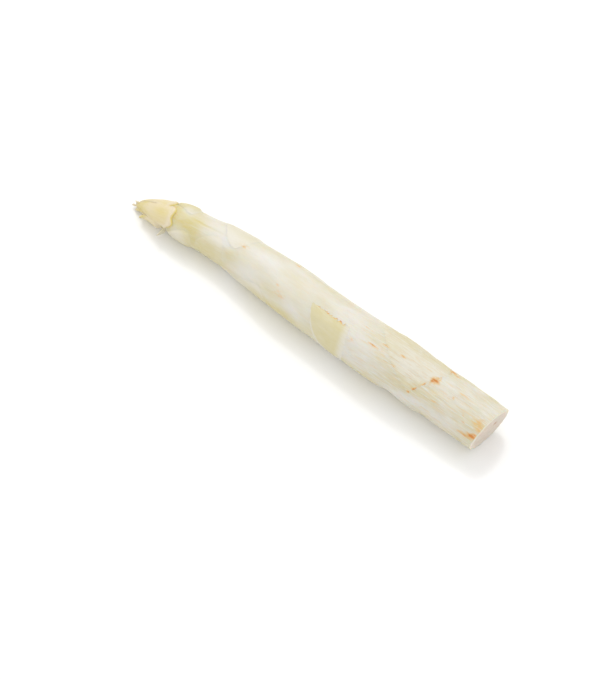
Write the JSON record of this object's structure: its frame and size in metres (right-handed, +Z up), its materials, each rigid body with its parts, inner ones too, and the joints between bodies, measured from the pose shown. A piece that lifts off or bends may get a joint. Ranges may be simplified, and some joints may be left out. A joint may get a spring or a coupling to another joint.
{
  "type": "white asparagus spear",
  "caption": "Fresh white asparagus spear lying on its side: thick tapering stem cut off at a slant, scale leaves pressed along it, closed pointed tip.",
  "frame": {"origin": "bottom centre of the bounding box of the whole spear, on the surface it lies on", "axes": "+X runs along the spear from the tip to the cut end, +Z up, -Y is the front"},
  "size_m": [0.2008, 0.0258, 0.025],
  "materials": {
    "flesh": "cream-white moist plant flesh, faintly ribbed lengthwise, soft satin sheen",
    "bract": "thin yellow-cream scale leaf, smooth, with a pale curled margin and rust-brown frayed edges",
    "tip_scale": "pinkish cream scale leaf, satin, orange-brown in the folds"
  },
  "bodies": {
    "root": {"stem": "flesh", "bract_01": "bract", "bract_02": "bract", "bract_03": "bract", "bract_04": "bract", "bract_05": "bract", "bract_06": "bract", "bract_07": "bract", "bract_08": "bract", "tip_scale_01": "tip_scale", "tip_scale_02": "tip_scale", "tip_scale_03": "tip_scale", "tip_scale_04": "tip_scale", "tip_scale_05": "tip_scale", "tip_scale_06": "tip_scale", "tip_scale_07": "tip_scale", "tip_scale_08": "tip_scale", "tip_scale_09": "tip_scale", "tip_scale_10": "tip_scale", "tip_scale_11": "tip_scale", "tip_scale_12": "tip_scale", "tip_scale_13": "tip_scale", "tip_scale_14": "tip_scale", "tip_scale_15": "tip_scale", "tip_scale_16": "tip_scale", "tip_scale_17": "tip_scale", "tip_scale_18": "tip_scale"}
  },
  "joints": []
}
